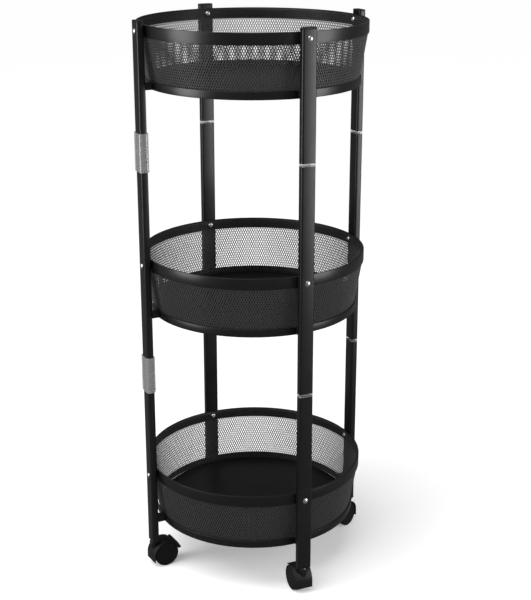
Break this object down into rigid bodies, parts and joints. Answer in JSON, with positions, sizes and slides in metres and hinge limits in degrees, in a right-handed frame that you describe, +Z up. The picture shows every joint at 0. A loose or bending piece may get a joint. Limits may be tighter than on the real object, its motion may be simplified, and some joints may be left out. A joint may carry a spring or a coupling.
{
  "type": "rolling utility cart",
  "caption": "Tall round storage cart: open mesh baskets stacked on sectioned tube legs with clear joint connectors, on hooded swivel casters with press-down brake levers.",
  "frame": {"origin": "on the floor, under the middle of the round baskets", "axes": "+Z up along the legs, -Y the front, with a leg on each diagonal of X and Y"},
  "size_m": [0.34, 0.34, 0.8635],
  "materials": {
    "black_paint": "satin black powder coat",
    "black_mesh": "satin black powder coat on expanded metal mesh",
    "black_plastic": "fine moulded grain",
    "caster_plastic": "fine moulded grain",
    "wheel_plastic": "satin moulded",
    "clear_plastic": "clear, slightly frosted",
    "zinc_steel": "bright zinc plate"
  },
  "bodies": {
    "cart_frame": {"bottom_basket_rim_band": "black_paint", "bottom_basket_mesh_wall": "black_mesh", "bottom_basket_bottom_band": "black_paint", "bottom_basket_floor_plate": "black_paint", "middle_basket_rim_band": "black_paint", "middle_basket_mesh_wall": "black_mesh", "middle_basket_bottom_band": "black_paint", "middle_basket_floor_plate": "black_paint", "top_basket_rim_band": "black_paint", "top_basket_mesh_wall": "black_mesh", "top_basket_bottom_band": "black_paint", "top_basket_floor_plate": "black_paint", "front_left_lower_leg_tube": "black_paint", "front_left_middle_leg_tube": "black_paint", "front_left_upper_leg_tube": "black_paint", "front_left_lower_clear_connector": "clear_plastic", "front_left_lower_clear_sleeve": "clear_plastic", "front_left_upper_clear_connector": "clear_plastic", "front_left_upper_clear_sleeve": "clear_plastic", "front_left_top_cap": "black_plastic", "front_left_caster_socket": "black_plastic", "front_left_caster_stem": "zinc_steel", "front_right_lower_leg_tube": "black_paint", "front_right_middle_leg_tube": "black_paint", "front_right_upper_leg_tube": "black_paint", "front_right_lower_clear_connector": "clear_plastic", "front_right_upper_clear_connector": "clear_plastic", "front_right_top_cap": "black_plastic", "front_right_caster_socket": "black_plastic", "front_right_caster_stem": "zinc_steel", "back_right_lower_leg_tube": "black_paint", "back_right_middle_leg_tube": "black_paint", "back_right_upper_leg_tube": "black_paint", "back_right_lower_clear_connector": "clear_plastic", "back_right_upper_clear_connector": "clear_plastic", "back_right_top_cap": "black_plastic", "back_right_caster_socket": "black_plastic", "back_right_caster_stem": "zinc_steel", "back_left_lower_leg_tube": "black_paint", "back_left_middle_leg_tube": "black_paint", "back_left_upper_leg_tube": "black_paint", "back_left_lower_clear_connector": "clear_plastic", "back_left_upper_clear_connector": "clear_plastic", "back_left_top_cap": "black_plastic", "back_left_caster_socket": "black_plastic", "back_left_caster_stem": "zinc_steel"},
    "front_left_caster": {"front_left_caster_hood": "caster_plastic"},
    "front_left_wheels": {"front_left_caster_wheels": "wheel_plastic"},
    "front_left_brake": {"front_left_caster_brake_lever": "caster_plastic"},
    "front_right_caster": {"front_right_caster_hood": "caster_plastic"},
    "front_right_wheels": {"front_right_caster_wheels": "wheel_plastic"},
    "back_right_caster": {"back_right_caster_hood": "caster_plastic"},
    "back_right_wheels": {"back_right_caster_wheels": "wheel_plastic"},
    "back_right_brake": {"back_right_caster_brake_lever": "caster_plastic"},
    "back_left_caster": {"back_left_caster_hood": "caster_plastic"},
    "back_left_wheels": {"back_left_caster_wheels": "wheel_plastic"}
  },
  "joints": [
    {"name": "front_left_swivel", "type": "hinge", "parent": "cart_frame", "child": "front_left_caster", "pos_m": [-0.12558, -0.12558, 0.0415], "axis": [0, 0, 1], "continuous": true},
    {"name": "front_left_roll", "type": "hinge", "parent": "front_left_caster", "child": "front_left_wheels", "pos_m": [-0.11466, -0.11256, 0.02], "axis": [-0.766, 0.6428, 0], "continuous": true},
    {"name": "front_left_brake_press", "type": "hinge", "parent": "front_left_caster", "child": "front_left_brake", "pos_m": [-0.10448, -0.10044, 0.03697], "axis": [-0.766, 0.6428, 0], "range_deg": [-18, 0]},
    {"name": "front_right_swivel", "type": "hinge", "parent": "cart_frame", "child": "front_right_caster", "pos_m": [0.12558, -0.12558, 0.0415], "axis": [0, 0, 1], "continuous": true},
    {"name": "front_right_roll", "type": "hinge", "parent": "front_right_caster", "child": "front_right_wheels", "pos_m": [0.1141, -0.11305, 0.02], "axis": [-0.7373, -0.6756, 0], "continuous": true},
    {"name": "back_right_swivel", "type": "hinge", "parent": "cart_frame", "child": "back_right_caster", "pos_m": [0.12558, 0.12558, 0.0415], "axis": [0, 0, 1], "continuous": true},
    {"name": "back_right_roll", "type": "hinge", "parent": "back_right_caster", "child": "back_right_wheels", "pos_m": [0.12067, 0.10931, 0.02], "axis": [0.9573, -0.289, 0], "continuous": true},
    {"name": "back_right_brake_press", "type": "hinge", "parent": "back_right_caster", "child": "back_right_brake", "pos_m": [0.1161, 0.09416, 0.03697], "axis": [0.9573, -0.289, 0], "range_deg": [-18, 0]},
    {"name": "back_left_swivel", "type": "hinge", "parent": "cart_frame", "child": "back_left_caster", "pos_m": [-0.12558, 0.12558, 0.0415], "axis": [0, 0, 1], "continuous": true},
    {"name": "back_left_roll", "type": "hinge", "parent": "back_left_caster", "child": "back_left_wheels", "pos_m": [-0.10884, 0.12853, 0.02], "axis": [-0.1736, 0.9848, 0], "continuous": true}
  ]
}
